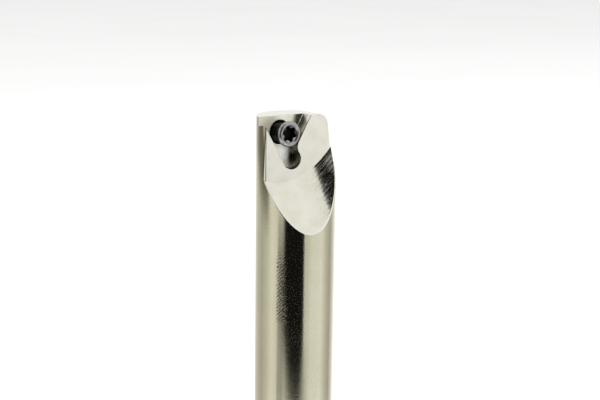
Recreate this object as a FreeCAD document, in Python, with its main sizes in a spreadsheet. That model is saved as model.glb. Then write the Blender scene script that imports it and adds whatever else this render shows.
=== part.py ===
import FreeCAD, Part
import math
import os
import Sketcher

# Boring bar for an adjustable boring head: a shank that the head clamps, a long slender neck
# and a milled tip with a triangular seat for a small indexable insert and its clamp screw.
# Millimetres and degrees. +Z runs along the bar from the shank's end face to the tip.
# The rake flat faces -Y and the cutting corner is on the -X side.

SIZES = {
    # shank
    "shank_diameter": 20,
    "shank_length": 36,
    "shank_end_chamfer": 1,
    "shoulder_chamfer": 0.8,
    "clamp_flat_depth": 1,
    "clamp_flat_start": 20,
    "clamp_flat_length": 12,
    # neck
    "neck_diameter": 8.5,
    "reach": 40,
    "neck_foot_radius": 1.2,
    # rake flat, in front of the bar's axis, and the scoop where its cutter ran out
    "rake_offset": 0.38,
    "scoop_radius": 10.86,
    "scoop_slope": 36.2,
    "scoop_lean": 3.6,
    "scoop_side": 1.44,
    "scoop_rise": 11.39,
    "rake_chamfer": 0.2,
    "front_chamfer_length": 6.6,
    "back_chamfer_length": 3.6,
    # rounded back corner of the tip, on the side away from the cutting corner
    "back_taper_length": 3.4,
    "back_taper_inset": 0.43,
    "back_corner_radius": 1.3,
    # seat of the insert: a corner of 60 degrees, open to the end face and to the side
    "seat_depth": 1.52,
    "seat_angle": 60,
    "seat_corner_side": 1.48,
    "seat_corner_drop": 5.43,
    "seat_reach": 14,
    "relief_radius": 1.08,
    "relief_side": 0.72,
    "relief_drop": 4.56,
    # clamp screw and its tapped hole
    "screw_diameter": 2,
    "screw_length": 4.1,
    "screw_side": 1.3,
    "screw_drop": 1.81,
    "screw_standing": 1.96,
    "screw_tip_chamfer": 0.2,
    "thread_clearance": 0.05,
    "hole_countersink": 0.25,
    "head_diameter": 2.75,
    "head_top_diameter": 2.25,
    "head_dome": 0.27,
    "head_rim": 0.13,
    "head_cone_angle": 60,
    "socket_mouth": 2.05,
    "socket_mouth_foot": 1.6,
    "socket_mouth_depth": 0.18,
    "socket_depth": 0.95,
    "socket_core": 1.3,
    "socket_points": 1.74,
    "socket_lobe": 0.4,
    "socket_lobes": 6,
    "socket_turn": 15,
}


class Size:
    """A length or angle that knows its value and the expression that gives it in the sheet."""

    def __init__(self, value, text):
        self.value = value
        self.text = text

    def __add__(self, other):
        other = as_size(other)
        return Size(self.value + other.value, f"({self.text} + {other.text})")

    def __sub__(self, other):
        other = as_size(other)
        return Size(self.value - other.value, f"({self.text} - {other.text})")

    def __mul__(self, other):
        other = as_size(other)
        return Size(self.value * other.value, f"({self.text} * {other.text})")

    def __truediv__(self, other):
        other = as_size(other)
        return Size(self.value / other.value, f"({self.text} / {other.text})")

    def __neg__(self):
        return Size(-self.value, f"(0 - {self.text})")


def as_size(number):
    return number if isinstance(number, Size) else Size(float(number), repr(float(number)))


def sine(angle):
    return Size(math.sin(math.radians(angle.value)), f"sin({angle.text} * 1 deg)")


def cosine(angle):
    return Size(math.cos(math.radians(angle.value)), f"cos({angle.text} * 1 deg)")


def tangent(angle):
    return Size(math.tan(math.radians(angle.value)), f"tan({angle.text} * 1 deg)")


def arctangent(size):
    return Size(math.degrees(math.atan(size.value)), f"(atan({size.text}) / 1 deg)")


def root(size):
    return Size(math.sqrt(size.value), f"sqrt({size.text})")


def make_sheet(doc):
    """Write the driving sizes into a spreadsheet and give back each one by its name."""
    sheet = doc.addObject("Spreadsheet::Sheet", "Sizes")
    for row, (name, value) in enumerate(SIZES.items(), start=1):
        sheet.set(f"A{row}", name)
        sheet.set(f"B{row}", str(value))
        sheet.setAlias(f"B{row}", name)
    doc.recompute()
    return {name: Size(float(value), f"Sizes.{name}") for name, value in SIZES.items()}


def make_body(doc, label):
    body = doc.addObject("PartDesign::Body", label)
    body.Label = label
    return body


def add_sketch(body, name, plane, offset=None):
    """A sketch on one of the body's origin planes, moved along the plane's normal by offset."""
    sketch = body.newObject("Sketcher::SketchObject", name)
    base = [item for item in body.Origin.OriginFeatures if item.Role == plane][0]
    sketch.AttachmentSupport = [(base, "")]
    sketch.MapMode = "FlatFace"
    if offset is not None:
        sketch.setExpression("AttachmentOffset.Base.z", offset.text)
    return sketch


def bind(sketch, kind, *arguments):
    """Add a dimension whose last argument is a Size, and tie it to the sheet."""
    size = as_size(arguments[-1])
    number = sketch.addConstraint(Sketcher.Constraint(kind, *arguments[:-1], size.value))
    sketch.setExpression(f"Constraints[{number}]", size.text)


def place_point(sketch, edge, end, x, y):
    """Fix one end of an edge by its two distances from the sketch's origin."""
    bind(sketch, "DistanceX", -1, 1, edge, end, x)
    bind(sketch, "DistanceY", -1, 1, edge, end, y)


def draw_polygon(sketch, points):
    """Closed outline of straight lines through points, each a pair of Sizes or plain zeros."""
    corners = [(as_size(x), as_size(y)) for x, y in points]
    vectors = [FreeCAD.Vector(x.value, y.value, 0) for x, y in corners]
    edges = []
    for start, stop in zip(vectors, vectors[1:] + vectors[:1]):
        edges.append(sketch.addGeometry(Part.LineSegment(start, stop), False))
    for edge, following in zip(edges, edges[1:] + edges[:1]):
        sketch.addConstraint(Sketcher.Constraint("Coincident", edge, 2, following, 1))
    for edge, (x, y) in zip(edges, corners):
        place_point(sketch, edge, 1, x, y)


def draw_rounded_path(sketch, points, radius):
    """Closed outline through points, whose last edge, back to the first point, is an arc.

    The arc bulges to the left of the way from the last point to the first.
    """
    corners = [(as_size(x), as_size(y)) for x, y in points]
    vectors = [FreeCAD.Vector(x.value, y.value, 0) for x, y in corners]
    edges = []
    for start, stop in zip(vectors, vectors[1:]):
        edges.append(sketch.addGeometry(Part.LineSegment(start, stop), False))
    last, first = vectors[-1], vectors[0]
    chord = first - last
    middle = (first + last) * 0.5
    left = FreeCAD.Vector(-chord.y, chord.x, 0).normalize()
    centre = middle - left * math.sqrt(radius.value ** 2 - (chord.Length / 2) ** 2)
    top = centre + left * radius.value
    arc = sketch.addGeometry(Part.Arc(last, top, first), False)
    arc_start, arc_end = arc_ends(sketch, arc, last)
    for edge, following in zip(edges, edges[1:]):
        sketch.addConstraint(Sketcher.Constraint("Coincident", edge, 2, following, 1))
    sketch.addConstraint(Sketcher.Constraint("Coincident", edges[-1], 2, arc, arc_start))
    sketch.addConstraint(Sketcher.Constraint("Coincident", arc, arc_end, edges[0], 1))
    for edge, (x, y) in zip(edges, corners):
        place_point(sketch, edge, 1, x, y)
    place_point(sketch, edges[-1], 2, *corners[-1])
    bind(sketch, "Radius", arc, radius)


def arc_ends(sketch, arc, first):
    """Numbers of an arc's two ends, the one that lies at first before the other."""
    near = (sketch.getPoint(arc, 1) - first).Length < (sketch.getPoint(arc, 2) - first).Length
    return (1, 2) if near else (2, 1)


def draw_circle(sketch, x, y, radius):
    centre = FreeCAD.Vector(as_size(x).value, as_size(y).value, 0)
    circle = sketch.addGeometry(Part.Circle(centre, FreeCAD.Vector(0, 0, 1), radius.value), False)
    place_point(sketch, circle, 3, x, y)
    bind(sketch, "Radius", circle, radius)
    return circle


def add_pocket(body, name, sketch, length=None):
    """Cut a sketch's outline into the body, by a length or right through both ways."""
    pocket = body.newObject("PartDesign::Pocket", name)
    pocket.Profile = sketch
    if length is None:
        pocket.Type = "ThroughAll"
        pocket.Midplane = True
    else:
        pocket.Type = "Length"
        pocket.setExpression("Length", length.text)
    return pocket


def add_revolution(body, name, sketch):
    turned = body.newObject("PartDesign::Revolution", name)
    turned.Profile = sketch
    turned.ReferenceAxis = (sketch, ["V_Axis"])
    turned.Angle = 360
    return turned


def edges_where(feature, test):
    """Names of a feature's edges all of whose sampled points pass the test."""
    names = []
    for number, edge in enumerate(feature.Shape.Edges, start=1):
        if all(test(point) for point in edge.discretize(7)):
            names.append(f"Edge{number}")
    return names


def dress(body, kind, name, size_property, feature, edges, size):
    """A fillet or chamfer of one size on named edges of a feature."""
    dressed = body.newObject(kind, name)
    dressed.Base = (feature, edges)
    dressed.setExpression(size_property, size.text)
    return dressed


def on_ring(point, radius, height):
    near_radius = abs(math.hypot(point.x, point.y) - radius.value) < 1e-4
    return near_radius and abs(point.z - height.value) < 1e-4


def make_bar(doc, size):
    """Turned shank and neck, then the tip with its insert seat, opened by the rake flat."""
    shank_radius = size["shank_diameter"] / 2
    neck_radius = size["neck_diameter"] / 2
    tip = size["shank_length"] + size["reach"]
    body = make_body(doc, "turned_bar")
    add_turned_blank(doc, body, size, shank_radius, neck_radius, tip)
    add_clamp_flat(body, size, shank_radius)
    add_back_corner(body, size, tip)
    add_back_chamfer(body, size, tip)
    add_front_chamfer(body, size, neck_radius, tip)
    add_insert_seat(body, size, tip)
    add_screw_hole(doc, body, size, tip)

    bar = doc.addObject("Part::Cut", "boring_bar")
    bar.Label = "boring_bar"
    bar.Base = body
    bar.Tool = make_rake_cutter(doc, size, tip)
    doc.recompute()
    return bar


def add_turned_blank(doc, body, size, shank_radius, neck_radius, tip):
    """Shank and neck turned in one piece, with the shank's chamfers and the neck's foot radius."""
    shank = size["shank_length"]
    profile = add_sketch(body, "turned_profile", "XZ_Plane")
    draw_polygon(profile, [
        (0, 0),
        (shank_radius, 0),
        (shank_radius, shank),
        (neck_radius, shank),
        (neck_radius, tip),
        (0, tip),
    ])
    turned = add_revolution(body, "turned_blank", profile)
    doc.recompute()
    rings = edges_where(turned, lambda point: on_ring(point, shank_radius, as_size(0)))
    end_chamfer = dress(body, "PartDesign::Chamfer", "shank_end_chamfer_cut", "Size",
                        turned, rings, size["shank_end_chamfer"])
    doc.recompute()
    rings = edges_where(end_chamfer, lambda point: on_ring(point, shank_radius, shank))
    shoulder = dress(body, "PartDesign::Chamfer", "shoulder_chamfer_cut", "Size",
                     end_chamfer, rings, size["shoulder_chamfer"])
    doc.recompute()
    rings = edges_where(shoulder, lambda point: on_ring(point, neck_radius, shank))
    dress(body, "PartDesign::Fillet", "neck_foot_fillet", "Radius",
          shoulder, rings, size["neck_foot_radius"])
    doc.recompute()


def add_clamp_flat(body, size, shank_radius):
    """The flat that the head's set screw presses on, on the rake side of the shank."""
    start = size["clamp_flat_start"]
    stop = start + size["clamp_flat_length"]
    sketch = add_sketch(body, "clamp_flat_outline", "XZ_Plane", shank_radius)
    draw_polygon(sketch, [
        (-shank_radius, start),
        (shank_radius, start),
        (shank_radius, stop),
        (-shank_radius, stop),
    ])
    add_pocket(body, "clamp_flat_cut", sketch, size["clamp_flat_depth"])


def draw_back_outline(sketch, size, tip, side_inset, top_inset, foot_drop):
    """What lies beyond the tip's back side: a tapering line, a rounded corner and the end face.

    The side's line is moved in by side_inset and the end face's line by top_inset. The corner's
    arc touches both, so its ends lie radius / tan(half the angle between them) from the corner.
    """
    neck_radius = size["neck_diameter"] / 2
    radius = size["back_corner_radius"]
    slope = size["back_taper_inset"] / size["back_taper_length"]
    taper = arctangent(slope)
    reach = radius / tangent(taper / 2 + 45)
    corner_x = neck_radius - size["back_taper_inset"] - side_inset + slope * top_inset
    corner_z = tip - top_inset
    beyond = size["neck_diameter"]
    foot = tip - foot_drop
    draw_rounded_path(sketch, [
        (corner_x + reach * sine(taper), corner_z - reach * cosine(taper)),
        (neck_radius - side_inset - slope * (size["back_taper_length"] - foot_drop), foot),
        (beyond, foot),
        (beyond, tip + beyond),
        (corner_x - reach, tip + beyond),
        (corner_x - reach, corner_z),
    ], radius)


def add_back_corner(body, size, tip):
    """Tapers the tip's back side and rounds its corner, right through the bar."""
    sketch = add_sketch(body, "back_corner_outline", "XZ_Plane")
    draw_back_outline(sketch, size, tip, as_size(0), as_size(0), size["back_taper_length"])
    add_pocket(body, "back_corner_cut", sketch)


def add_back_chamfer(body, size, tip):
    """Chamfers the rake flat's edge along the back side, fading out at the end face."""
    chamfer = size["rake_chamfer"]
    foot_drop = size["back_chamfer_length"]
    in_front = add_sketch(body, "back_chamfer_front", "XZ_Plane", size["rake_offset"] + chamfer)
    draw_back_outline(in_front, size, tip, chamfer * 2, chamfer, foot_drop)
    behind = add_sketch(body, "back_chamfer_rear", "XZ_Plane", size["rake_offset"] - chamfer)
    draw_back_outline(behind, size, tip, as_size(0), -chamfer, foot_drop)
    cut = body.newObject("PartDesign::SubtractiveLoft", "back_chamfer_cut")
    cut.Profile = in_front
    cut.Sections = [behind]
    cut.Ruled = True


def add_front_chamfer(body, size, neck_radius, tip):
    """Chamfers the rake flat's long edge on the cutting side."""
    offset = size["rake_offset"]
    chamfer = size["rake_chamfer"]
    edge_x = -root(neck_radius * neck_radius - offset * offset)
    edge_y = -offset
    sketch = add_sketch(body, "front_chamfer_outline", "XY_Plane", tip)
    draw_polygon(sketch, [
        (edge_x - chamfer, edge_y - chamfer),
        (edge_x + chamfer * 2, edge_y - chamfer),
        (edge_x - chamfer, edge_y + chamfer * 2),
    ])
    add_pocket(body, "front_chamfer_cut", sketch, size["front_chamfer_length"])


def add_insert_seat(body, size, tip):
    """The triangular floor and two walls that hold the insert, with the corner's round relief."""
    half = size["seat_angle"] / 2
    corner_x = -size["seat_corner_side"]
    corner_z = tip - size["seat_corner_drop"]
    spread = size["seat_reach"] * sine(half)
    rise = size["seat_reach"] * cosine(half)
    front = size["neck_diameter"]
    depth = front - size["rake_offset"] + size["seat_depth"]
    walls = add_sketch(body, "seat_outline", "XZ_Plane", front)
    draw_polygon(walls, [
        (corner_x, corner_z),
        (corner_x + spread, corner_z + rise),
        (corner_x - spread, corner_z + rise),
    ])
    add_pocket(body, "seat_cut", walls, depth)
    relief = add_sketch(body, "relief_outline", "XZ_Plane", front)
    draw_circle(relief, -size["relief_side"], tip - size["relief_drop"], size["relief_radius"])
    add_pocket(body, "relief_cut", relief, depth)


def add_screw_hole(doc, body, size, tip):
    """The clamp screw's tapped hole, countersunk at the seat's floor and open at the back."""
    side = -size["screw_side"]
    height = tip - size["screw_drop"]
    floor = size["seat_depth"] - size["rake_offset"]
    radius = size["screw_diameter"] / 2 + size["thread_clearance"]
    sketch = add_sketch(body, "screw_hole_outline", "XZ_Plane", size["neck_diameter"])
    draw_circle(sketch, side, height, radius)
    hole = add_pocket(body, "screw_hole_cut", sketch, size["neck_diameter"] * 2)
    doc.recompute()

    def on_mouth(point):
        from_axis = math.hypot(point.x - side.value, point.z - height.value)
        return abs(point.y - floor.value) < 1e-4 and abs(from_axis - radius.value) < 1e-4

    dress(body, "PartDesign::Chamfer", "hole_countersink_cut", "Size",
          hole, edges_where(hole, on_mouth), size["hole_countersink"])


def make_rake_cutter(doc, size, tip):
    """What the rake flat's cutter takes away: a slanting cylinder, in front of the flat only.

    The cylinder's axis crosses the flat scoop_side from the bar's axis and scoop_rise above the
    end face. It makes scoop_slope with the flat and leans scoop_lean from the bar's direction.
    """
    slope = size["scoop_slope"]
    lean = size["scoop_lean"]
    half_length = size["reach"]
    along_x = cosine(slope) * sine(lean)
    along_y = sine(slope)
    along_z = cosine(slope) * cosine(lean)
    cylinder = doc.addObject("Part::Cylinder", "scoop_cylinder")
    cylinder.setExpression("Radius", size["scoop_radius"].text)
    cylinder.setExpression("Height", (half_length * 2).text)
    centre = (-size["scoop_side"], -size["rake_offset"], tip + size["scoop_rise"])
    base = [place - half_length * share for place, share in zip(centre, (along_x, along_y, along_z))]
    cylinder.setExpression(
        "Placement",
        f"create(<<placement>>; create(<<vector>>; {base[0].text}; {base[1].text}; {base[2].text});"
        f" create(<<rotation>>; 0; {lean.text}; {(-slope).text}))",
    )
    front = doc.addObject("Part::Box", "front_of_flat")
    width = size["neck_diameter"] * 4
    front.setExpression("Length", width.text)
    front.setExpression("Width", size["neck_diameter"].text)
    front.setExpression("Height", (size["reach"] + size["neck_diameter"]).text)
    front.setExpression("Placement.Base.x", (-width / 2).text)
    front.setExpression("Placement.Base.y", (-(size["rake_offset"] + size["neck_diameter"])).text)
    front.setExpression("Placement.Base.z", size["shank_length"].text)
    cutter = doc.addObject("Part::Common", "rake_cutter")
    cutter.Base = cylinder
    cutter.Tool = front
    return cutter


def make_screw(doc, size):
    """Countersunk clamp screw with a domed edge and a six-lobed socket, its top at z = 0."""
    body = make_body(doc, "insert_screw")
    shank = size["screw_diameter"] / 2
    head = size["head_diameter"] / 2
    dome = size["head_dome"]
    rim = dome + size["head_rim"]
    end = size["screw_length"]
    chamfer = size["screw_tip_chamfer"]
    cone = (head - shank) / tangent(size["head_cone_angle"] / 2)
    mouth_depth = size["socket_mouth_depth"]
    profile = add_sketch(body, "screw_profile", "XZ_Plane")
    draw_polygon(profile, [
        (0, -mouth_depth),
        (size["socket_mouth_foot"] / 2, -mouth_depth),
        (size["socket_mouth"] / 2, 0),
        (size["head_top_diameter"] / 2, 0),
        (head, -dome),
        (head, -rim),
        (shank, -(rim + cone)),
        (shank, chamfer - end),
        (shank - chamfer, -end),
        (0, -end),
    ])
    add_revolution(body, "screw_blank", profile)
    add_socket(body, size)

    tip = size["shank_length"] + size["reach"]
    floor = size["seat_depth"] - size["rake_offset"]
    body.Placement.Rotation = FreeCAD.Rotation(FreeCAD.Vector(1, 0, 0), 90)
    body.setExpression("Placement.Base.x", (-size["screw_side"]).text)
    body.setExpression("Placement.Base.y", (floor - size["screw_standing"]).text)
    body.setExpression("Placement.Base.z", (tip - size["screw_drop"]).text)
    doc.recompute()
    return body


def add_socket(body, size):
    """The screw's socket: a round core and a ring of lobes that reach out to its points."""
    core = add_sketch(body, "socket_core_outline", "XY_Plane")
    draw_circle(core, 0, 0, size["socket_core"] / 2)
    add_pocket(body, "socket_core_cut", core, size["socket_depth"])
    lobe_radius = size["socket_lobe"] / 2
    offset = size["socket_points"] / 2 - lobe_radius
    turn = size["socket_turn"]
    lobe = add_sketch(body, "socket_lobe_outline", "XY_Plane")
    draw_circle(lobe, offset * cosine(turn), -(offset * sine(turn)), lobe_radius)
    lobe_cut = add_pocket(body, "socket_lobe_cut", lobe, size["socket_depth"])
    lobes = body.newObject("PartDesign::PolarPattern", "socket_lobe_ring")
    lobes.Originals = [lobe_cut]
    lobes.Axis = (lobe, ["N_Axis"])
    lobes.Angle = 360
    lobes.setExpression("Occurrences", size["socket_lobes"].text)
    body.Tip = lobes


def check_document(doc):
    for item in doc.Objects:
        if "Invalid" in item.State or "Error" in item.State:
            raise RuntimeError(f"{item.Name} did not build")


def write_step(body):
    shape = body.Shape
    if shape.isNull() or not shape.isValid() or len(shape.Solids) != 1:
        raise RuntimeError(f"{body.Label} is not one valid solid")
    shape.exportStep(os.path.join("parts", body.Label + ".step"))
    print(body.Label, "volume", round(shape.Volume, 3), "faces", len(shape.Faces))


def main():
    os.makedirs("parts", exist_ok=True)
    doc = FreeCAD.newDocument("boring_bar_model")
    size = make_sheet(doc)
    pieces = [make_bar(doc, size), make_screw(doc, size)]
    doc.recompute()
    check_document(doc)
    for piece in pieces:
        write_step(piece)


main()
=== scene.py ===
import math

import bpy
import numpy as np
from mathutils import Matrix, Vector


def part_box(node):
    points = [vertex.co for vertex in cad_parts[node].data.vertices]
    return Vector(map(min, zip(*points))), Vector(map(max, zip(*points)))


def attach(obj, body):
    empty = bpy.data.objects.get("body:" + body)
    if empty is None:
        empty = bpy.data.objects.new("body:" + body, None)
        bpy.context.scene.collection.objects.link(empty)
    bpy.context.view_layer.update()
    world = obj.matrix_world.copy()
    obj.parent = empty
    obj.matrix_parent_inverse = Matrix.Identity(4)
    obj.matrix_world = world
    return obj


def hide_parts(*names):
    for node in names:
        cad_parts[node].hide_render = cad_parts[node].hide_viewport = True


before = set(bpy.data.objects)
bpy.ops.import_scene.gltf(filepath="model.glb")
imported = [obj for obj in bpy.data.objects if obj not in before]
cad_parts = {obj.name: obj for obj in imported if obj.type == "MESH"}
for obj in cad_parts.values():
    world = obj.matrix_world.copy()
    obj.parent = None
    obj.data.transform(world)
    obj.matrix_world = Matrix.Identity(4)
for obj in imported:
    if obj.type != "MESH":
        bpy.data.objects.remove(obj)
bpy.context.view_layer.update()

# Boring bar: satin nickel plate on a turned bar with a milled tip, and a blackened clamp screw.
# Metres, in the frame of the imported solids: +Z to the tip, -Y the way the rake flat faces.

MM = 0.001
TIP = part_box("boring_bar")[1].z
NECK_RADIUS = 4.25 * MM
RAKE_Y = -0.38 * MM
SEAT_Y = 1.14 * MM

# The clamp screw's axis in x and z, and the y of its head's top.
screw_low, screw_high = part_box("insert_screw")
SCREW_AXIS = ((screw_low.x + screw_high.x) / 2, (screw_low.z + screw_high.z) / 2)
SCREW_TOP_Y = screw_low.y

# The scoop is part of a slanting cylinder: a point on its axis, its direction and its radius.
SCOOP_POINT = np.array([-1.44 * MM, RAKE_Y, TIP + 11.39 * MM])
SCOOP_SLOPE = math.radians(36.2)
SCOOP_LEAN = math.radians(3.6)
SCOOP_AXIS = np.array([
    math.cos(SCOOP_SLOPE) * math.sin(SCOOP_LEAN),
    math.sin(SCOOP_SLOPE),
    math.cos(SCOOP_SLOPE) * math.cos(SCOOP_LEAN),
])
SCOOP_RADIUS = 10.86 * MM

# The cutter's marks on the scoop: the directions across and along them, and their pitch in
# millimetres.
MARK_ACROSS = (-0.452, 0.711, 0.539)
MARK_ALONG = (0.766, 0.0, 0.642)
MARK_PITCH = 0.41

# The seat's corner in x and z, and the direction of its right wall, 30 degrees from upright.
SEAT_CORNER = np.array([-1.48 * MM, TIP - 5.43 * MM])
WALL_ALONG = np.array([math.sin(math.radians(30)), math.cos(math.radians(30))])
WALL_INWARD = np.array([WALL_ALONG[1], -WALL_ALONG[0]])

# The round relief at that corner: x and z of its axis, and its radius.
RELIEF = np.array([-0.72 * MM, TIP - 4.56 * MM])
RELIEF_RADIUS = 1.08 * MM

# The arc that rounds the corner between the right wall and the relief: its radius, and its
# centre, which lies one radius inside the metal from the wall and from the relief.
ARC_RADIUS = 1.0 * MM
RELIEF_PAST_WALL = (RELIEF - SEAT_CORNER) @ WALL_INWARD
RELIEF_FOOT = RELIEF - RELIEF_PAST_WALL * WALL_INWARD
ARC_CENTRE = RELIEF_FOOT + ARC_RADIUS * WALL_INWARD + WALL_ALONG * math.sqrt(
    (RELIEF_RADIUS + ARC_RADIUS) ** 2 - (ARC_RADIUS - RELIEF_PAST_WALL) ** 2)


# Shader maths
class Value:
    """A shader socket that Python's operators add Math nodes to."""

    def __init__(self, graph, socket):
        self.graph = graph
        self.socket = socket

    def math(self, operation, *others):
        return self.graph.math(operation, self, *others)

    def __add__(self, other):
        return self.math("ADD", other)

    def __sub__(self, other):
        return self.math("SUBTRACT", other)

    def __mul__(self, other):
        return self.math("MULTIPLY", other)

    def __truediv__(self, other):
        return self.math("DIVIDE", other)

    def __neg__(self):
        return self.math("MULTIPLY", -1.0)

    def __rsub__(self, other):
        return self.graph.math("SUBTRACT", other, self)

    __radd__ = __add__
    __rmul__ = __mul__

    def between(self, low, high):
        """0 at low and below, 1 at high and above, smooth between them."""
        node = self.graph.node("ShaderNodeMapRange", dict(interpolation_type="SMOOTHSTEP"), **{
            "Value": self, "From Min": low, "From Max": high})
        return node["Result"]

    def band(self, start, full, fade, end):
        """0 up to start, 1 from full to fade, and 0 again from end, smooth between them."""
        return self.between(start, full) * (1 - self.between(fade, end))

    def wave(self, pitch):
        """Sine of the value, from -1 to 1, with one crest in every pitch."""
        return (self * (2 * math.pi / pitch)).math("SINE")


class Graph:
    """A node tree with one call for every kind of node."""

    def __init__(self, tree):
        self.tree = tree
        tree.nodes.clear()

    def node(self, kind, settings=None, **sockets):
        made = self.tree.nodes.new(kind)
        for name, value in (settings or {}).items():
            if name == "stops":
                self.set_stops(made, value)
            else:
                setattr(made, name, value)
        for name, value in sockets.items():
            self.plug(made.inputs[name], value)
        return Outputs(self, made)

    def plug(self, target, value):
        if isinstance(value, Value):
            self.tree.links.new(value.socket, target)
        else:
            target.default_value = value

    def set_stops(self, ramp, stops):
        elements = ramp.color_ramp.elements
        while len(elements) < len(stops):
            elements.new(1.0)
        for element, (position, colour) in zip(elements, stops):
            element.position = position
            element.color = (*colour, 1.0)

    def math(self, operation, *values):
        made = self.tree.nodes.new("ShaderNodeMath")
        made.operation = operation
        for number, value in enumerate(values):
            self.plug(made.inputs[number], value)
        return Value(self, made.outputs[0])

    def mix(self, factor, first, second):
        """Colour that goes from first to second as factor goes from 0 to 1."""
        made = self.tree.nodes.new("ShaderNodeMix")
        made.data_type = "RGBA"
        self.plug(made.inputs[0], factor)
        for socket, colour in ((made.inputs[6], first), (made.inputs[7], second)):
            self.plug(socket, colour if isinstance(colour, Value) else (*colour, 1.0))
        return Value(self, made.outputs[2])

    def dot(self, vector, direction):
        """How far a vector reaches along a fixed direction."""
        made = self.tree.nodes.new("ShaderNodeVectorMath")
        made.operation = "DOT_PRODUCT"
        self.plug(made.inputs[0], vector)
        made.inputs[1].default_value = direction
        return Value(self, made.outputs["Value"])

    def places(self):
        """Object coordinates, whole and parted into X, Y and Z."""
        where = self.node("ShaderNodeTexCoord")["Object"]
        return where, self.node("ShaderNodeSeparateXYZ", Vector=where)


class Outputs:
    """A node's outputs by name."""

    def __init__(self, graph, node):
        self.graph = graph
        self.node = node

    def __getitem__(self, name):
        return Value(self.graph, self.node.outputs[name])


def new_graph(name):
    """A new material and its empty node tree."""
    material = bpy.data.materials.new(name)
    material.use_nodes = True
    return material, Graph(material.node_tree)


# Objects
def add_object(name, data):
    """An object at the origin, in the scene."""
    made = bpy.data.objects.new(name, data)
    bpy.context.scene.collection.objects.link(made)
    return made


def add_surface(name, points, faces, materials):
    """An object whose mesh has these points, faces and materials."""
    mesh = bpy.data.meshes.new(name)
    mesh.from_pydata(points, [], faces)
    mesh.update(calc_edges=True)
    for material in materials:
        mesh.materials.append(material)
    return add_object(name, mesh)


# Camera
PICTURE_WIDTH = 600
FOCAL_LENGTH_IN_PIXELS = 1298.7
SENSOR_WIDTH = 36


def add_camera():
    """The photograph's viewpoint: azimuth, elevation and roll round a target near the tip."""
    azimuth, elevation, roll = (math.radians(angle) for angle in (-34.76, 11.59, 0.76))
    distance = 138.5 * MM
    right_of_axis = 0.471 * MM
    below_tip = 9.076 * MM
    back = Vector((math.sin(azimuth) * math.cos(elevation),
                   -math.cos(azimuth) * math.cos(elevation),
                   math.sin(elevation)))
    right = Vector((math.cos(azimuth), math.sin(azimuth), 0))
    up = back.cross(right)
    target = right * right_of_axis + Vector((0, 0, TIP - below_tip))
    camera = add_object("camera", bpy.data.cameras.new("camera"))
    turned_right = right * math.cos(roll) + up * math.sin(roll)
    turned_up = up * math.cos(roll) - right * math.sin(roll)
    axes = Matrix((turned_right, turned_up, back)).transposed().to_4x4()
    camera.matrix_world = Matrix.Translation(target + back * distance) @ axes
    camera.data.sensor_width = SENSOR_WIDTH
    camera.data.lens = FOCAL_LENGTH_IN_PIXELS * SENSOR_WIDTH / PICTURE_WIDTH
    camera.data.clip_start = 0.005
    camera.data.clip_end = 20
    bpy.context.scene.camera = camera


# Light
def seen_directly(graph):
    """1 for what the camera, metal and glass see, and 0 for the light on everything else."""
    path = graph.node("ShaderNodeLightPath")
    seen = graph.math("MAXIMUM", path["Is Camera Ray"], path["Is Glossy Ray"])
    return graph.math("MAXIMUM", seen, path["Is Transmission Ray"])


def studio_world():
    """White to the camera and to metal, and a plain grey for everything else."""
    world = bpy.data.worlds.new("studio")
    bpy.context.scene.world = world
    world.use_nodes = True
    graph = Graph(world.node_tree)
    colour = graph.mix(seen_directly(graph), (0.8, 0.8, 0.8), (1.0, 1.0, 1.0))
    back = graph.node("ShaderNodeBackground", Color=colour, Strength=1.0)
    graph.node("ShaderNodeOutputWorld", Surface=back["Background"])


# The tent's cloth once round, from the back by the left side, the front and the right side.
TENT_CLOTH = [
    (0.00, (0.74, 0.73, 0.69)),
    (0.03, (0.62, 0.61, 0.57)),
    (0.06, (0.59, 0.58, 0.54)),
    (0.10, (0.49, 0.48, 0.45)),
    (0.15, (0.62, 0.61, 0.57)),
    (0.21, (0.86, 0.85, 0.82)),
    (0.26, (0.76, 0.75, 0.72)),
    (0.47, (0.70, 0.695, 0.68)),
    (0.50, (0.67, 0.665, 0.645)),
    (0.545, (0.85, 0.85, 0.83)),
    (0.56, (0.84, 0.84, 0.84)),
    (0.63, (0.90, 0.90, 0.90)),
    (0.69, (0.61, 0.60, 0.57)),
    (0.74, (0.46, 0.45, 0.42)),
    (0.83, (1.0, 1.0, 1.0)),
    (0.96, (0.92, 0.92, 0.90)),
    (1.00, (0.74, 0.73, 0.69)),
]
TENT_RADIUS = 110 * MM
TENT_FOOT = 0.2 * MM
TENT_TOP = 420 * MM
TENT_SIDES = 96


def wood_board(from_back, height):
    """Share of wood on the tent's wall: a board low at the back, whose lower edge slants.

    Its left end is soft, and reaches up to ten degrees further just above 52 mm.
    """
    reach = (height - 52).math("MAXIMUM", 0.0).math("MINIMUM", 2.0) * 5
    ends = (from_back + reach).between(-22, 38) * (1 - from_back.between(52, 70))
    slanted = height + 0.15 * (from_back - 10)
    return 0.92 * ends * slanted.between(44.5, 54.5) * (1 - height.between(80, 110))


def grey_strip(azimuth, height):
    """Share of grey on the tent's wall: a narrow strip at the left, near the floor."""
    return azimuth.band(-87.5, -83.5, -72, -62) * (1 - height.between(41, 46))


def black_card(azimuth, height):
    """Share of black on the tent's wall: a card on the photographer's side, clear of the floor.

    Its left edge is soft, and slants below 35 mm. Its right edge leans, gets crisper with the
    height, and draws back to the right close to the floor.
    """
    above = height.between(33, 37)
    core = azimuth.between(-74, -62)
    slanting = azimuth.between(-76 - 0.4 * height, -19 - 1.93 * height) * (0.82 + 0.18 * core)
    left = core * above + slanting * (1 - above)
    lean = (height - 30) * (6 / 190)
    low = (20.7 - height).math("MAXIMUM", 0.0)
    crisp = 1.7 * height.between(100, 160)
    right = 1 - (azimuth + lean).between(crisp - 11 - 1.2 * low, low - 5 - crisp)
    foot = height.between(-9, 9)
    return left * right * (0.15 + 0.85 * foot)


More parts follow.
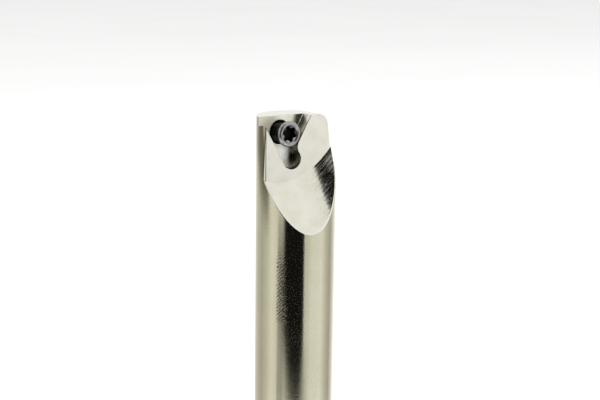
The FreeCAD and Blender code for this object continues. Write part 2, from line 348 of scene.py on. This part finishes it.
def tent_material():
    """Brightness of the light tent's wall, by the compass angle from -Y and by the height.

    Pale cloth all round, thinner at two places and white higher up, with a wooden board low at
    the back, a grey strip at the left and a black card in front. Degrees and millimetres.
    """
    material, graph = new_graph("tent_cloth")
    material.cycles.emission_sampling = "NONE"
    parts = graph.places()[1]
    azimuth = graph.math("ARCTAN2", parts["X"], -parts["Y"]) * (180 / math.pi)
    from_back = graph.math("ARCTAN2", -parts["X"], parts["Y"]) * (180 / math.pi)
    height = parts["Z"] / MM
    round_tent = azimuth / 360 + 0.5
    wall = graph.node("ShaderNodeValToRGB", dict(stops=TENT_CLOTH), Fac=round_tent)["Color"]
    wall = graph.mix(height.between(42, 66), wall, (0.97, 0.97, 0.96))
    wall = graph.mix(wood_board(from_back, height), wall, (0.12, 0.10, 0.07))
    wall = graph.mix(grey_strip(azimuth, height), wall, (0.42, 0.41, 0.38))
    wall = graph.mix(black_card(azimuth, height), wall, (0.008, 0.0075, 0.007))
    glow = graph.node("ShaderNodeEmission", Color=wall, Strength=1.0)
    graph.node("ShaderNodeOutputMaterial", Surface=glow["Emission"])
    return material


def add_tent():
    """A round light tent that only reflections see: a cylinder of one radius with an open top."""
    angle = np.linspace(0, 2 * np.pi, TENT_SIDES + 1)[:-1]
    ring = TENT_RADIUS * np.stack([np.cos(angle), np.sin(angle)], 1)
    low = np.column_stack([ring, np.full(TENT_SIDES, TENT_FOOT)])
    high = np.column_stack([ring, np.full(TENT_SIDES, TENT_TOP)])
    first = np.arange(TENT_SIDES)
    after = (first + 1) % TENT_SIDES
    faces = np.stack([after, first, first + TENT_SIDES, after + TENT_SIDES], 1)
    points = np.vstack([low, high])
    tent = add_surface("light_tent", points.tolist(), faces.tolist(), [tent_material()])
    tent.visible_camera = False
    tent.visible_diffuse = False
    tent.visible_transmission = False
    tent.visible_shadow = False


LAMP_TARGET = Vector((0, 0, 40 * MM))


def add_lamp(name, place, size, power):
    """A square softbox that faces the neck's foot and that metal doesn't see."""
    lamp = bpy.data.lights.new(name, "AREA")
    lamp.shape = "SQUARE"
    lamp.size = size
    lamp.energy = power
    holder = add_object(name, lamp)
    aim = LAMP_TARGET - Vector(place)
    turned = aim.to_track_quat("-Z", "Y").to_matrix().to_4x4()
    holder.matrix_world = Matrix.Translation(place) @ turned
    holder.visible_glossy = False


def floor_material():
    """Matte pale paint with a faint mottle, and a little brighter where it is seen directly."""
    material, graph = new_graph("pale_floor")
    mottle = graph.node("ShaderNodeTexNoise", Scale=40.0, Detail=3.0)["Fac"]
    paint = graph.mix(mottle.between(0.3, 0.7), (0.80, 0.80, 0.795), (0.82, 0.82, 0.815))
    matte = graph.node("ShaderNodeBsdfPrincipled", **{
        "Base Color": paint, "Roughness": 0.9, "Specular IOR Level": 0.1})
    glow = graph.node("ShaderNodeEmission", Color=(1, 1, 1, 1), Strength=0.18)
    lit = graph.node("ShaderNodeAddShader")
    graph.plug(lit.node.inputs[0], matte["BSDF"])
    graph.plug(lit.node.inputs[1], glow["Emission"])
    choice = graph.node("ShaderNodeMixShader", Fac=seen_directly(graph))
    graph.plug(choice.node.inputs[1], matte["BSDF"])
    graph.plug(choice.node.inputs[2], lit["Shader"])
    graph.node("ShaderNodeOutputMaterial", Surface=choice["Shader"])
    return material


def add_floor():
    """A wide pale sheet under the bar, which keeps the bar's shadow."""
    reach = 3.0
    corners = [(-reach, -reach, 0), (reach, -reach, 0), (reach, reach, 0), (-reach, reach, 0)]
    add_surface("floor", corners, [(0, 1, 2, 3)], [floor_material()])


# Materials of the bar and the screw, whose masks go by x, depth (y) and height (z) in millimetres
def bump(graph, height, strength, distance):
    """Normal of a fine relief whose height runs from 0 to 1 over the distance given."""
    return graph.node("ShaderNodeBump", Height=height, Strength=strength, Distance=distance)["Normal"]


def metal(graph, colour, roughness, normal, metallic=1.0):
    """Ends a material with a metal surface."""
    surface = graph.node("ShaderNodeBsdfPrincipled", **{
        "Base Color": colour, "Metallic": metallic, "Roughness": roughness, "Normal": normal})
    graph.node("ShaderNodeOutputMaterial", Surface=surface["BSDF"])


def noise(graph, where, size, detail):
    """Soft noise from 0 to 1 whose blotches are about size across."""
    placed = graph.node("ShaderNodeMapping", Vector=where, Scale=(1 / size,) * 3)["Vector"]
    return graph.node("ShaderNodeTexNoise", Vector=placed, Scale=1.0, Detail=detail)["Fac"]


def turned_plate():
    """Nickel plate over a turned skin: fine rings, small grain and faint warm clouds.

    On the neck's left side is one scuffed patch: a lattice of small dents, the product of a
    sine wave round the bar and one along it, both pushed out of line by noise.
    """
    material, graph = new_graph("turned_nickel_plate")
    where, parts = graph.places()
    height = parts["Z"] / MM
    arc = graph.math("ARCTAN2", parts["X"], -parts["Y"]) * (NECK_RADIUS / MM)
    cloud = noise(graph, where, 3 * MM, 4.0)
    grain = noise(graph, where, 0.16 * MM, 1.0)
    drift = noise(graph, where, 1.2 * MM, 2.0)
    speck = noise(graph, where, 0.13 * MM, 2.0)
    mottle = noise(graph, where, 0.10 * MM, 1.0)
    push = noise(graph, where, 0.45 * MM, 2.0)
    rings = (height + 0.25 * drift).wave(0.24)
    dents = 0.5 + 0.5 * (arc + 0.9 * push).wave(0.43) * (height + 1.1 * push).wave(0.40)
    scuffed = arc.band(-4.66, -4.44, -3.50, -3.05) * height.band(54.0, 55.2, 61.0, 61.9)
    relief = 0.33 * grain + 0.015 * rings + 0.5 * scuffed * dents
    colour = graph.mix(cloud.between(0.32, 0.68), (0.725, 0.695, 0.525), (0.765, 0.74, 0.58))
    colour = graph.mix(grain.between(0.60, 0.75) * 0.3, colour, (0.58, 0.55, 0.42))
    colour = graph.mix(mottle.between(0.35, 0.65) * 0.35, colour, (0.61, 0.58, 0.44))
    colour = graph.mix(0.8 * scuffed * dents.between(0.40, 0.72), colour, (0.14, 0.135, 0.115))
    rough = 0.08 + 0.04 * cloud + 0.05 * speck.between(0.52, 0.72)
    metal(graph, colour, rough, bump(graph, relief, 1.0, 0.0117 * MM))
    return material


def milled_plate():
    """Nickel plate over milled faces: slanting cutter marks on the scoop, small grain elsewhere.

    The marks are waves of one pitch and of half of it, duller on their crests, and dullest
    where the scoop runs out at the right.
    """
    material, graph = new_graph("milled_nickel_plate")
    where, parts = graph.places()
    depth = parts["Y"] / MM
    cloud = noise(graph, where, 1.6 * MM, 4.0)
    grain = noise(graph, where, 0.14 * MM, 2.0)
    drift = noise(graph, where, 0.5 * MM, 2.0)
    speck = noise(graph, where, 0.12 * MM, 1.0)
    across = graph.dot(where, MARK_ACROSS) / MM + 0.10 * drift
    along = graph.dot(where, MARK_ALONG) / MM
    streaked = graph.node("ShaderNodeCombineXYZ", X=across, Y=along / 16)["Vector"]
    streak = graph.node("ShaderNodeTexNoise", Vector=streaked, Scale=9.0, Detail=2.0)["Fac"]
    coarse = 0.5 + 0.5 * across.wave(MARK_PITCH)
    fine = 0.5 + 0.5 * (across * (4 * math.pi / MARK_PITCH) + 2 * streak).math("SINE")
    on_scoop = 1 - depth.between(-0.44, -0.39)
    outward = (parts["X"] / MM + 0.35 * depth).between(2.5, 3.3) * (1 - depth.between(-0.75, -0.50))
    dull = fine * (0.25 + 0.75 * streak.between(0.35, 0.65)) * (0.7 + 0.3 * outward)
    ridge = coarse * coarse * (0.5 + 0.5 * fine)
    scoop_rough = 0.30 * dull + 0.10 * speck.between(0.55, 0.70) + 0.38 * outward * (0.2 + 0.8 * ridge)
    rough = 0.05 + 0.02 * cloud + on_scoop * scoop_rough
    colour = graph.mix(cloud.between(0.3, 0.7), (0.75, 0.73, 0.63), (0.815, 0.80, 0.71))
    relief = (0.31 * coarse + 0.07 * fine) * on_scoop + 0.12 * grain
    metal(graph, colour, rough, bump(graph, relief, 1.0, 0.006 * MM))
    return material


def seat_floor():
    """Nickel plate on the seat's floor: satin and darker at the left, bright at the right.

    In the relief it is whiter, with painted shade dark along its middle.
    """
    material, graph = new_graph("seat_floor_plate_and_painted_shade")
    where, parts = graph.places()
    cloud = noise(graph, where, 0.8 * MM, 4.0)
    grain = noise(graph, where, 0.12 * MM, 2.0)
    across = parts["X"] / MM + 0.2 * cloud
    height = parts["Z"] / MM + 0.3 * cloud
    in_relief = 1 - height.between(72.3, 73.5)
    above = 1 - in_relief
    at_left = 1 - across.between(-2.4, -0.9)
    # Painted shade: the relief's floor is darkened along its middle, where the recess lies in shade.
    relief_painted_shade = across.between(-0.38, 0.16) * in_relief * (0.45 + 0.55 * height.between(70.5, 70.9))
    bright = across.between(0.1, 0.9) * above + across.between(-0.35, 0.25) * in_relief
    colour = graph.mix(cloud.between(0.3, 0.7), (0.70, 0.675, 0.55), (0.78, 0.76, 0.64))
    colour = graph.mix(at_left * above, colour, (0.56, 0.54, 0.44))
    colour = graph.mix(in_relief, colour, (0.96, 0.96, 0.94))
    colour = graph.mix(relief_painted_shade, colour, (0.26, 0.245, 0.19))
    rough = 0.30 - 0.16 * bright + 0.05 * cloud
    metal(graph, colour, rough, bump(graph, grain, 1.0, 0.003 * MM), 0.45 + 0.55 * bright)
    return material


def seat_wall():
    """Painted shade: dark brown over the plate on the seat's walls and in the screw's hole.

    Low in the relief it is lighter and dull, a painted light where the wall faces up, with a darker
    band of painted shade above that, and lighter painted shade higher up above the hole. A painted
    highlight is bright near the tip, and a painted shadow lies nearly black along the rim.
    """
    material, graph = new_graph("seat_wall_painted_shade")
    where, parts = graph.places()
    height = parts["Z"] / MM
    depth = parts["Y"] / MM
    cloud = noise(graph, where, 0.5 * MM, 4.0)
    grain = noise(graph, where, 0.15 * MM, 2.0)
    low = 1 - (height + 0.5 * cloud).between(70.65, 71.55)
    middle = height.band(70.9, 71.3, 72.9, 73.3)
    above_hole = 1 - depth.between(1.15, 1.2)
    wall_painted_highlight = height.between(73.6, 74.8) * (1 - depth.between(-0.25, 0.45))
    rim = 1 - (depth - 0.6 * low).between(-0.30, -0.12)
    # Painted shade: the walls' dark brown stands in for the shade inside the pocket.
    colour = graph.mix(cloud.between(0.3, 0.7), (0.26, 0.24, 0.17), (0.42, 0.385, 0.29))
    # Painted light: lighter low in the relief, where the wall faces up.
    colour = graph.mix(low, colour, (0.62, 0.59, 0.49))
    # Painted shade: a darker band across the relief's middle.
    colour = graph.mix(0.55 * middle, colour, (0.12, 0.11, 0.08))
    # The painted shade is lighter from 72.5 to 74.5 mm, above the hole.
    colour = graph.mix(height.between(72.5, 74.5) * above_hole, colour, (0.50, 0.465, 0.38))
    # Painted highlight: bright near the tip.
    colour = graph.mix(wall_painted_highlight, colour, (0.95, 0.92, 0.82))
    # Painted shadow: nearly black along the rim.
    colour = graph.mix(0.85 * rim, colour, (0.07, 0.065, 0.045))
    rough = 0.25 + 0.10 * cloud + 0.20 * low
    metal(graph, colour, rough, bump(graph, grain, 1.0, 0.003 * MM))
    return material


def bare_plate(name, dark, bright, least_rough):
    """Clean plate between two shades, with a small grain and no less rough than the number."""
    material, graph = new_graph(name)
    grain = noise(graph, graph.node("ShaderNodeTexCoord")["Object"], 0.2 * MM, 3.0)
    colour = graph.mix(grain, dark, bright)
    metal(graph, colour, least_rough + 0.10 * grain, bump(graph, grain, 0.4, 0.004 * MM))
    return material


def corner_painted_highlight():
    """A painted highlight: the thin bright line along the foot of the seat's wall."""
    return bare_plate("corner_painted_highlight_plate", (0.90, 0.88, 0.80), (0.97, 0.96, 0.90), 0.60)


def worn_edge():
    """Rolled edges, where the plate is bright and smooth."""
    return bare_plate("edge_nickel_plate", (0.80, 0.785, 0.70), (0.88, 0.87, 0.80), 0.12)


def screw_steel():
    """Black oxide on the screw, worn to grey steel on the domed ring of its head.

    The ring is finely scratched round, and a narrow stretch of its mouth is painted black as a painted
    dark reflection.
    The socket is blackest, darkened past the oxide as painted shade.
    """
    material, graph = new_graph("blackened_steel_and_painted_shade")
    where, parts = graph.places()
    across = parts["X"] / MM - SCREW_AXIS[0] / MM
    along = parts["Z"] / MM - SCREW_AXIS[1] / MM
    depth = parts["Y"] / MM - SCREW_TOP_Y / MM
    ring = graph.math("SQRT", across * across + along * along)
    cloud = noise(graph, where, 0.25 * MM, 4.0)
    worn_to = 0.22 + 0.14 * ring.between(0.98, 1.02)
    worn = 1 - (depth + 0.06 * cloud).between(worn_to, worn_to + 0.08)
    # Painted dark reflection: a narrow stretch of the socket's mouth is kept black.
    painted_dark_reflection = (along + 0.35 * across).between(-0.25, 0.25) * (1 - ring.between(0.86, 0.94))
    worn = worn * (1 - 0.8 * painted_dark_reflection)
    socket_painted_shade = depth.between(0.55, 0.85) * (1 - ring.between(0.80, 0.90))
    black = graph.mix(cloud, (0.020, 0.020, 0.019), (0.055, 0.053, 0.050))
    # Painted shade: the socket is darker than the black oxide.
    black = graph.mix(socket_painted_shade, black, (0.008, 0.008, 0.007))
    grey = graph.mix(cloud.between(0.3, 0.7), (0.30, 0.305, 0.30), (0.42, 0.42, 0.41))
    colour = graph.mix(worn, black, grey)
    relief = 0.2 * ring.wave(0.07) * worn + 0.4 * cloud
    metal(graph, colour, 0.28 + 0.08 * cloud, bump(graph, relief, 0.5, 0.003 * MM))
    return material


# Bar with broken edges
WELD = 0.0005 * MM
SHARP = math.radians(8)
NEAR = 0.03 * MM
TIP_FOOT = 69 * MM


def read_faces(node):
    """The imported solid's triangles: corner numbers of its welded points, and corner normals."""
    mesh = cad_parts[node].data
    mesh.calc_loop_triangles()
    loops = np.empty(len(mesh.loop_triangles) * 3, np.int32)
    mesh.loop_triangles.foreach_get("loops", loops)
    owners = np.empty(len(mesh.loops), np.int32)
    mesh.loops.foreach_get("vertex_index", owners)
    normals = np.empty(len(mesh.loops) * 3, np.float32)
    mesh.corner_normals.foreach_get("vector", normals)
    points = np.empty(len(mesh.vertices) * 3, np.float32)
    mesh.vertices.foreach_get("co", points)
    points = points.reshape(-1, 3).astype(float)
    cells = np.round(points / WELD).astype(np.int64)
    cells, welded = np.unique(cells, axis=0, return_inverse=True)
    welded = welded.reshape(-1)
    welded_points = np.zeros((len(cells), 3))
    welded_points[welded] = points
    corners = welded[owners[loops]].reshape(-1, 3)
    normals = normals.reshape(-1, 3).astype(float)[loops].reshape(-1, 3, 3)
    whole = (corners != np.roll(corners, -1, axis=1)).all(1)
    return welded_points, corners[whole], normals[whole]


def round_relief_corner(points, corners, normals):
    """Rounds the sharp corner where the seat's right wall runs into the relief.

    An arc touches the wall's line and the relief's circle. The relief's points near the corner
    move along a path of that arc and the circle, each by its angle round the relief's axis, and
    take the path's normals. Where the floor's triangles fill the whole relief, they are laid
    again as a fan from its other end, because the path bends into one from the sharp corner.
    """
    tolerance = 0.003 * MM
    path_end = math.radians(12)
    arc_share = 0.70
    from_axis = points[:, [0, 2]] - RELIEF
    on_circle = np.abs(np.linalg.norm(from_axis, axis=1) - RELIEF_RADIUS) < tolerance
    angle = np.arctan2(from_axis[:, 1], from_axis[:, 0])
    sharp_corner = RELIEF_FOOT - RELIEF + WALL_ALONG * math.sqrt(
        RELIEF_RADIUS ** 2 - RELIEF_PAST_WALL ** 2)
    path_start = math.atan2(sharp_corner[1], sharp_corner[0])
    touch = math.atan2(*(ARC_CENTRE - RELIEF)[::-1])
    arc_start = math.atan2(-WALL_INWARD[1], -WALL_INWARD[0])
    arc_stop = touch + math.pi
    share = np.clip((path_start - angle) / (path_start - path_end), 0, 1)
    turn = arc_start + (arc_stop - arc_start) * np.minimum(share / arc_share, 1)
    on_arc = np.stack([np.cos(turn), np.sin(turn)], 1)
    turn = touch + (path_end - touch) * (share - arc_share) / (1 - arc_share)
    on_relief = np.stack([np.cos(turn), np.sin(turn)], 1)
    early = (share < arc_share)[:, None]
    path = np.where(early, ARC_CENTRE + ARC_RADIUS * on_arc, RELIEF + RELIEF_RADIUS * on_relief)
    moved = on_circle & (angle > path_end) & (angle < path_start + 0.01)
    points[moved, 0], points[moved, 2] = path[moved].T

    all_on_circle = on_circle[corners].all(1)
    facing = np.where(early, on_arc, -on_relief)
    facing = np.column_stack([facing[:, 0], np.zeros(len(facing)), facing[:, 1]])
    round_wall = all_on_circle & (np.abs(normals[:, :, 1]).max(1) < 0.1)
    turned = round_wall[:, None] & moved[corners]
    normals[turned] = facing[corners[turned]]

    floor = all_on_circle & (normals[:, :, 1].max(1) < -0.9)
    around = np.unique(corners[floor])
    around = around[np.argsort(angle[around])]
    if floor.sum() == len(around) - 2:
        hub = np.full(len(around) - 2, around[0])
        corners[floor] = np.stack([hub, around[1:-1], around[2:]], 1)
    return points, corners, normals


def pair_half_edges(corners, count):
    """For every triangle side a to b, the number of the side that runs b to a, or -1."""
    start = corners.reshape(-1)
    stop = corners[:, [1, 2, 0]].reshape(-1)
    forward = start.astype(np.int64) * count + stop
    backward = stop.astype(np.int64) * count + start
    order = np.argsort(forward)
    place = np.clip(np.searchsorted(forward[order], backward), 0, len(order) - 1)
    partner = order[place]
    return start, stop, np.where(forward[partner] == backward, partner, -1)


def find_sectors(side, after, partner, sharp):
    """The sector that each corner belongs to: corners that smooth sides link share one.

    Linked corners take their smallest label, again and again until nothing changes.
    """
    smooth = side[~sharp]
    first = np.concatenate([smooth, after[smooth]])
    second = np.concatenate([after[partner[smooth]], partner[smooth]])
    labels = side.copy()
    before = None
    while before is None or not np.array_equal(before, labels):
        before = labels.copy()
        smallest = np.minimum(labels[first], labels[second])
        np.minimum.at(labels, first, smallest)
        np.minimum.at(labels, second, smallest)
    return np.unique(labels, return_inverse=True)[1].reshape(-1)


def sector_shifts(sector, along, after, sharp, normals, width):
    """How far each sector's point moves into its face, by least squares.

    Its distance from each sharp side should be that side's width. Staying in the face counts
    five times as much, and a small pull towards no shift settles what is left open.
    """
    count = sector.max() + 1
    matrix = np.zeros((count, 3, 3))
    target = np.zeros((count, 3))
    for corner in (np.arange(len(sector)), after):
        inward = np.cross(normals[corner], along)
        inward /= np.linalg.norm(inward, axis=1)[:, None]
        inward, owner, reach = inward[sharp], sector[corner[sharp]], width[sharp]
        np.add.at(matrix, owner, inward[:, :, None] * inward[:, None, :])
        np.add.at(target, owner, inward * reach[:, None])
    np.add.at(matrix, sector, 5.0 * normals[:, :, None] * normals[:, None, :])
    matrix += 0.02 * np.eye(3)
    shift = np.linalg.solve(matrix, target[:, :, None])[:, :, 0]
    size = np.maximum(np.linalg.norm(shift, axis=1), 1e-12)
    return shift * np.minimum(1.0, 2.5 * width.max() / size)[:, None]


def slope_normals(normals):
    """Normals of the slopes' corners: the faces' own, or one for all where the faces turn back."""
    back = (normals[:, 0] * normals[:, -1]).sum(1) < -0.3
    back |= (normals[:, 0] * normals[:, 1]).sum(1) < -0.3
    whole = normals.sum(1)
    whole /= np.maximum(np.linalg.norm(whole, axis=1), 1e-12)[:, None]
    return np.where(back[:, None, None], whole[:, None, :], normals)


def corner_polygons(following):
    """Closed runs of sectors, each the next one of the last, grouped by length from 3 to 8."""
    steps = [np.arange(len(following))]
    while len(steps) < 9:
        steps.append(np.where(steps[-1] >= 0, following[steps[-1]], -1))
    steps = np.stack(steps, 1)
    first = steps[:, 0]
    groups = []
    for length in range(3, 9):
        closed = (steps[:, length] == first) & (steps[:, 1:length].min(1) > first)
        groups.append(steps[closed, :length])
    return groups


def break_edges(faces, widths):
    """The solid with a narrow slope in place of every sharp edge, shaded as a round one.

    At each point, the corners of the triangles round it fall into sectors that the sharp edges
    part. Every sector gets its own point, moved into its face until it lies the slope's width
    from both of the sharp edges. A slope joins two sectors along each edge, and a small polygon
    closes every place where three or more edges meet. Normals stay those of the solid's faces,
    so that light runs round each slope as round a rolled edge. Faces come in groups of one
    number of corners, the solid's own triangles first.
    """
    points, corners, normals = faces
    normals = normals.reshape(-1, 3)
    start, stop, partner = pair_half_edges(corners, len(points))
    side = np.arange(len(start))
    after = side - side % 3 + (side + 1) % 3
    cos_start = (normals * normals[after[partner]]).sum(1)
    cos_stop = (normals[after] * normals[partner]).sum(1)
    sharp = (partner < 0) | (np.minimum(cos_start, cos_stop) < math.cos(SHARP))
    sector = find_sectors(side, after, partner, sharp)
    along = points[stop] - points[start]
    along /= np.linalg.norm(along, axis=1)[:, None]
    width = widths(0.5 * (points[start] + points[stop]))
    shift = sector_shifts(sector, along, after, sharp, normals, width)
    home = np.empty(len(shift), np.int64)
    home[sector] = start
    places = np.clip(points[home] + shift, points.min(0), points.max(0))

    edge = side[sharp & (side < partner)]
    other = partner[edge]
    slopes = np.column_stack([after[edge], edge, after[other], other])
    kept = sector[slopes] != np.roll(sector[slopes], -1, axis=1)
    groups = [sector.reshape(-1, 3)]
    group_normals = [normals]
    for size in (4, 3):
        chosen = kept.sum(1) == size
        runs = slopes[chosen][kept[chosen]].reshape(-1, size)
        groups.append(sector[runs])
        group_normals.append(slope_normals(normals[runs]).reshape(-1, 3))

    following = np.full(len(shift), -1)
    following[sector[after[other]]] = sector[edge]
    following[sector[after[edge]]] = sector[other]
    mean = np.zeros((len(shift), 3))
    np.add.at(mean, sector, normals)
    mean /= np.linalg.norm(mean, axis=1)[:, None]
    for runs in corner_polygons(following):
        groups.append(runs)
        group_normals.append(mean[runs].reshape(-1, 3))
    return places, groups, np.vstack(group_normals)


def off_scoop(places):
    """Distance of places from the scoop's surface."""
    to_axis = places - SCOOP_POINT
    to_axis = to_axis - np.outer(to_axis @ SCOOP_AXIS, SCOOP_AXIS)
    return np.abs(np.linalg.norm(to_axis, axis=1) - SCOOP_RADIUS)


def bar_edge_widths(middle):
    """Width of each broken edge, by where its middle lies.

    Broad at the seat's left lip and along the scoop's rim, where it is broader on the right,
    hardly any where the scoop runs into the flat, and narrow everywhere else.
    """
    x, y, z = middle.T
    on_neck = np.abs(np.hypot(x, y) - NECK_RADIUS) < NEAR
    on_scoop = off_scoop(middle) < NEAR
    on_flat = np.abs(y - RAKE_Y) < NEAR
    on_floor = (np.abs(y - SEAT_Y) < NEAR) & (z > TIP_FOOT)
    in_relief = np.abs(np.hypot(x - RELIEF[0], z - RELIEF[1]) - RELIEF_RADIUS) < NEAR
    in_relief |= np.abs(np.hypot(x - ARC_CENTRE[0], z - ARC_CENTRE[1]) - ARC_RADIUS) < NEAR
    in_tip = z > TIP_FOOT + 0.2 * MM
    below_end = z < TIP - NEAR
    front_chamfer = in_tip & (x < -3.9 * MM) & (y < 0.2 * MM)
    rim = on_neck & on_scoop & (y < RAKE_Y - NEAR)
    left_lip = in_tip & on_neck & (x < -3.8 * MM) & (z > 74.7 * MM) & below_end
    left_wall = on_flat & in_tip & (x < SEAT_CORNER[0]) & (z > 70.6 * MM) & ~front_chamfer
    width = np.full(len(middle), 0.035)
    for place, millimetres in [
        (on_floor & below_end & ~on_neck, 0.07),
        (rim, 0.08),
        (rim & (x > 0), 0.13),
        (on_flat & on_scoop, 0.006),
        (front_chamfer & on_flat, 0.03),
        (front_chamfer & on_neck, 0.05),
        (on_floor & in_relief, 0.02),
        (left_lip, 0.18),
        (left_lip & on_floor, 0.10),
        (left_wall, 0.06),
    ]:
        width[place] = millimetres
    return width * MM


def round_chamfer(places, normals):
    """Turns the normals across the chamfer at the tip's left side, so that it shades as round.

    The angle from -Y towards -X goes from 80 degrees at the chamfer's back edge to 42 at its
    front edge.
    """
    on_chamfer = normals @ np.array([-0.707, -0.707, 0.0]) > 0.999
    on_chamfer &= (places[:, 2] > TIP_FOOT) & (places[:, 0] < -3.8 * MM)
    share = np.clip((-places[:, 1] / MM - 0.17) / 0.21, 0, 1)
    angle = np.radians(80 - 38 * share)
    turned = np.stack([-np.sin(angle), -np.cos(angle), np.zeros(len(angle))], 1)
    return np.where(on_chamfer[:, None], turned, normals)


# The bar's finishes, in the order of its material slots; the seat's floor, wall and corner line carry
# painted light and shade.
FINISHES = [turned_plate, milled_plate, worn_edge, seat_floor, seat_wall, corner_painted_highlight]
TURNED, MILLED, EDGE, FLOOR, WALL, PAINTED_HIGHLIGHT = range(len(FINISHES))


def bar_finishes(centres, first_slope):
    """Finish of each face, by where its centre lies and whether it is the slope of an edge."""
    x, y, z = centres.T
    milled = (z > 50 * MM) & (np.hypot(x, y) < NECK_RADIUS - 0.012 * MM)
    slope = np.arange(len(centres)) >= first_slope
    seat = milled & (y > RAKE_Y + 0.08 * MM) & (y < SEAT_Y + 0.01 * MM)
    seat &= (z < TIP - 0.05 * MM) & (x < 2 * MM)
    from_screw = np.hypot(x - SCREW_AXIS[0], z - SCREW_AXIS[1])
    finish = np.full(len(centres), TURNED)
    finish[milled] = MILLED
    finish[slope] = EDGE
    finish[seat] = WALL
    finish[seat & (y > SEAT_Y - 0.01 * MM)] = FLOOR
    # The screw's hole takes the seat wall's material with its painted shade.
    finish[(from_screw < 1.26 * MM) & (y > SEAT_Y + 0.01 * MM)] = WALL
    # Painted highlight: the edge slopes along the foot of the seat's wall near the tip.
    finish[seat & slope & (y > SEAT_Y - 0.2 * MM) & (z > 73 * MM)] = PAINTED_HIGHLIGHT
    return finish


def build_bar():
    """The bar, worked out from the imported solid: rounded at the relief, its edges broken."""
    faces = round_relief_corner(*read_faces("boring_bar"))
    places, groups, normals = break_edges(faces, bar_edge_widths)
    polygons = [face for group in groups for face in group.tolist()]
    bar = add_surface("bar", places.tolist(), polygons, [finish() for finish in FINISHES])
    corners = np.concatenate([group.reshape(-1) for group in groups])
    centres = np.vstack([places[group].mean(1) for group in groups])
    bar.data.polygons.foreach_set("use_smooth", np.ones(len(polygons), bool))
    bar.data.normals_split_custom_set(round_chamfer(places[corners], normals).tolist())
    bar.data.polygons.foreach_set("material_index", bar_finishes(centres, len(groups[0])))
    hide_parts("boring_bar")
    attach(bar, "bar")


# Clamp screw, whose radii and depths below the head's top are in millimetres
SOCKET_FLOOR = 0.93
THREAD_PITCH = 0.4
THREAD_START = 1.12
THREAD_END = 3.95
THREAD_CREST = 0.998
THREAD_ROOT = 0.76
NECK_UNDER_HEAD = 0.965
END = 4.1
AROUND = 144
RINGS_PER_TURN = 14

# Radius and depth of the outside above the thread, from the mouth of the socket outwards: the
# domed ring, the head's edge, its cone and the neck under it.
HEAD_OUTSIDE = [
    (1.005, 0.012), (1.025, 0.0), (1.09, 0.0), (1.125, 0.006), (1.20, 0.040), (1.27, 0.095),
    (1.325, 0.165), (1.358, 0.225), (1.373, 0.27), (1.375, 0.30), (1.375, 0.37), (1.371, 0.395),
    (1.355, 0.415), (1.30, 0.515), (1.20, 0.69), (1.10, 0.865), (1.03, 0.985), (0.99, 1.05),
    (0.97, 1.08), (NECK_UNDER_HEAD, THREAD_START),
]


def socket_radius(turn):
    """Radius of the six-lobed socket: a raised cosine with six crests in a turn.

    Its power of 1.25 makes the points narrower than the ridges between them.
    """
    wave = 0.5 + 0.5 * np.cos(6 * (2 * np.pi * turn + math.radians(15)))
    return 0.635 + 0.235 * wave ** 1.25


def thread_radius(depth, turn):
    """Radius of the thread at a depth and at a share of a turn: a rounded triangle wave.

    The wave moves one pitch along the screw in each turn. It fades in below the head and out
    at the chamfered end.
    """
    wave = np.abs(((depth / THREAD_PITCH - turn) % 1.0) * 2 - 1)
    tooth = np.clip((wave - 0.12) / 0.76, 0, 1)
    tooth = tooth * tooth * (3 - 2 * tooth) * 0.35 + tooth * 0.65
    fade = np.clip((depth - THREAD_START) / 0.25, 0, 1)
    root = THREAD_ROOT * fade + NECK_UNDER_HEAD * (1 - fade)
    past_chamfer = np.maximum(depth - (THREAD_END - 0.12), 0)
    crest = np.maximum(THREAD_CREST - 0.9 * past_chamfer, root)
    return root + (crest - root) * tooth


def screw_rings(turn):
    """Radius and depth of every ring of the screw, from the socket's floor over the head down.

    The socket's lobes fade into the round mouth as lobes times a share, plus a radius.
    """
    lobes = socket_radius(turn)
    rings = [(0.001, SOCKET_FLOOR)]
    rings += [(lobes * share, SOCKET_FLOOR - 0.03 * share) for share in (0.35, 0.7, 0.93)]
    rings += [(lobes * 0.985, 0.885)]
    rings += [(lobes, depth) for depth in (0.86, 0.6, 0.4, 0.27)]
    rings += [(lobes + 0.004, 0.235), (lobes * 0.9 + 0.092, 0.205), (lobes * 0.45 + 0.455, 0.18)]
    rings += [(0.885, 0.14), (0.93, 0.09), (0.97, 0.045)]
    rings += HEAD_OUTSIDE
    count = round((THREAD_END - THREAD_START) / THREAD_PITCH * RINGS_PER_TURN)
    depths = np.linspace(THREAD_START, THREAD_END, count)[1:]
    rings += list(zip(thread_radius(depths[:, None], turn), depths))
    rings += [(0.80, END - 0.04), (0.77, END - 0.01), (0.72, END), (0.36, END), (0.001, END)]
    radius = np.array([np.broadcast_to(ring, turn.shape) for ring, depth in rings])
    depth = np.array([np.full(turn.shape, depth) for ring, depth in rings])
    return radius * MM, depth * MM


def build_screw():
    """Clamp screw with a helical thread: rings of points round its axis, joined by quads."""
    turn = np.arange(AROUND) / AROUND
    radius, depth = screw_rings(turn)
    x = SCREW_AXIS[0] + radius * np.cos(2 * np.pi * turn)
    z = SCREW_AXIS[1] + radius * np.sin(2 * np.pi * turn)
    points = np.stack([x, SCREW_TOP_Y + depth, z], 2).reshape(-1, 3)
    row, column = np.meshgrid(np.arange(len(radius) - 1), np.arange(AROUND), indexing="ij")
    first = row * AROUND + column
    second = row * AROUND + (column + 1) % AROUND
    quads = np.stack([first, second, second + AROUND, first + AROUND], 2).reshape(-1, 4)
    last = (len(radius) - 1) * AROUND
    ends = [list(range(AROUND - 1, -1, -1)), list(range(last, last + AROUND))]
    screw = add_surface("clamp_screw", points.tolist(), quads.tolist() + ends, [screw_steel()])
    screw.data.polygons.foreach_set("use_smooth", np.ones(len(quads) + len(ends), bool))
    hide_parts("insert_screw")
    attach(screw, "screw")


bpy.context.scene.view_settings.view_transform = "Standard"
add_camera()
studio_world()
add_lamp("key_softbox", (0.5, -0.5, 0.6), 0.5, 6.0)
add_lamp("fill_softbox", (-0.7, -0.2, 0.5), 0.6, 3.0)
add_tent()
add_floor()
build_bar()
build_screw()
